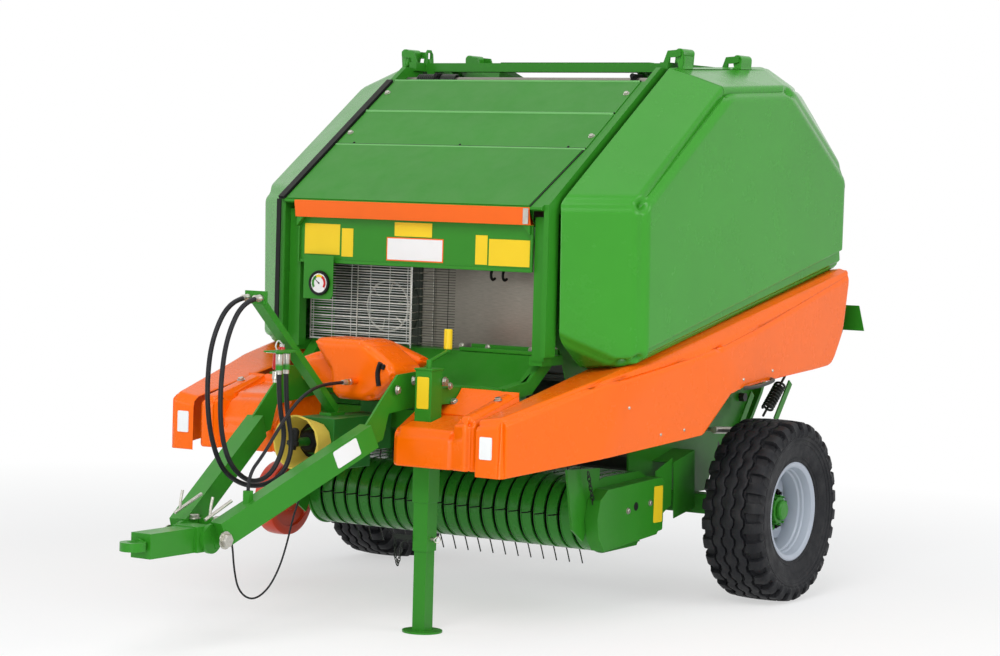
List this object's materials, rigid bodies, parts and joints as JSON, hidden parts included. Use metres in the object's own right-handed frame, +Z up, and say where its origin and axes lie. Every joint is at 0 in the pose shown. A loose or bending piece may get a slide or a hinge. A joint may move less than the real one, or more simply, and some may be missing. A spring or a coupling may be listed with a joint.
{
  "type": "round baler",
  "caption": "Towed round baler with a fixed bale chamber, ribbed rollers, side doors over moulded skirts, a low tined pickup, an opening tailgate and a screw jack.",
  "frame": {"origin": "on the ground, below the middle of the machine's outline", "axes": "+Z up; the hitch points to -Y and the rear to +Y; the machine's left side is +X"},
  "size_m": [2.37, 4.17, 2.464],
  "materials": {
    "green_paint": "gloss enamel, grass green",
    "cast_green": "painted casting, grass green",
    "gauge_green": "green plate with a pale dial",
    "green_plastic": "gloss moulded shell, light green",
    "orange_plastic": "gloss moulded shell, orange",
    "orange_paint": "gloss enamel, orange",
    "orange_wheel": "gloss enamel, red orange",
    "yellow_plastic": "moulded guard, yellow",
    "dark_plastic": "dark moulded cover",
    "tyre": "matt black with ribbed tread",
    "rim_silver": "silver enamel",
    "roller_steel": "dark ribbed steel",
    "spring_steel": "dark spring steel",
    "zinc": "zinc plated",
    "rubber": "black hose rubber",
    "galvanised": "galvanised sheet"
  },
  "bodies": {
    "chassis": {"axle": "green_paint", "main_frame": "green_paint", "side_wall_left": "green_paint", "side_wall_right": "green_paint", "bale_rollers": "roller_steel", "front_frame": "green_paint", "front_panels": "green_paint", "visor_stripe": "orange_paint", "roof_frame": "green_paint", "drawbar": "green_paint", "hitch_tongue": "green_paint", "jack_tube": "green_paint", "jack_crank": "zinc", "front_cover_left": "orange_plastic", "front_cover_right": "orange_plastic", "gearbox": "cast_green", "gearbox_cover": "orange_plastic", "pto_guard": "yellow_plastic", "hose_holder": "green_paint", "mesh_guard": "zinc", "back_sheet": "galvanised", "round_cover": "dark_plastic", "gauge": "gauge_green", "top_roller": "galvanised", "hose_outer": "rubber", "hose_inner": "rubber", "hose_feed": "rubber", "light_cable": "rubber"},
    "left_wheel": {"tyre_left": "tyre", "rim_left": "rim_silver"},
    "right_wheel": {"tyre_right": "tyre", "rim_right": "rim_silver"},
    "jack_middle_tube": {"jack_middle": "green_paint"},
    "jack_inner_leg": {"jack_leg": "green_paint"},
    "left_door": {"door_left": "green_plastic", "skirt_left": "orange_plastic"},
    "right_door": {"door_right": "green_plastic", "skirt_right": "orange_plastic"},
    "rear_gate": {"tailgate": "green_paint", "tailgate_rollers": "roller_steel", "rear_bar": "green_paint"},
    "pickup": {"strippers": "green_paint", "pickup_frame": "green_paint", "pickup_shield": "green_paint"},
    "reel": {"tine_reel": "spring_steel"},
    "pickup_wheel": {"gauge_wheel": "orange_wheel"}
  },
  "joints": [
    {"name": "left_wheel_spin", "type": "hinge", "parent": "chassis", "child": "left_wheel", "pos_m": [1.04, 1.15, 0.41], "axis": [1, 0, 0], "continuous": true},
    {"name": "right_wheel_spin", "type": "hinge", "parent": "chassis", "child": "right_wheel", "pos_m": [-1.04, 1.15, 0.41], "axis": [1, 0, 0], "continuous": true},
    {"name": "jack_screw", "type": "slide", "parent": "chassis", "child": "jack_middle_tube", "axis": [0, 0, 1], "range_m": [0, 0.12]},
    {"name": "jack_leg_drop", "type": "slide", "parent": "jack_middle_tube", "child": "jack_inner_leg", "axis": [0, 0, 1], "range_m": [0, 0.28]},
    {"name": "left_door_hinge", "type": "hinge", "parent": "chassis", "child": "left_door", "pos_m": [0.735, 1.05, 2.44], "axis": [0, -1, 0], "range_deg": [0, 60]},
    {"name": "right_door_hinge", "type": "hinge", "parent": "chassis", "child": "right_door", "pos_m": [-0.735, 1.05, 2.44], "axis": [0, 1, 0], "range_deg": [0, 60]},
    {"name": "tailgate_hinge", "type": "hinge", "parent": "chassis", "child": "rear_gate", "pos_m": [0, 0.9, 2.345], "axis": [1, 0, 0], "range_deg": [0, 60]},
    {"name": "pickup_lift", "type": "hinge", "parent": "chassis", "child": "pickup", "pos_m": [0, 0.58, 0.5], "axis": [1, 0, 0], "range_deg": [0, 24]},
    {"name": "reel_spin", "type": "hinge", "parent": "pickup", "child": "reel", "pos_m": [0, 0.2, 0.44], "axis": [1, 0, 0], "continuous": true},
    {"name": "pickup_wheel_spin", "type": "hinge", "parent": "pickup", "child": "pickup_wheel", "pos_m": [-0.95, 0.15, 0.375], "axis": [1, 0, 0], "continuous": true}
  ]
}
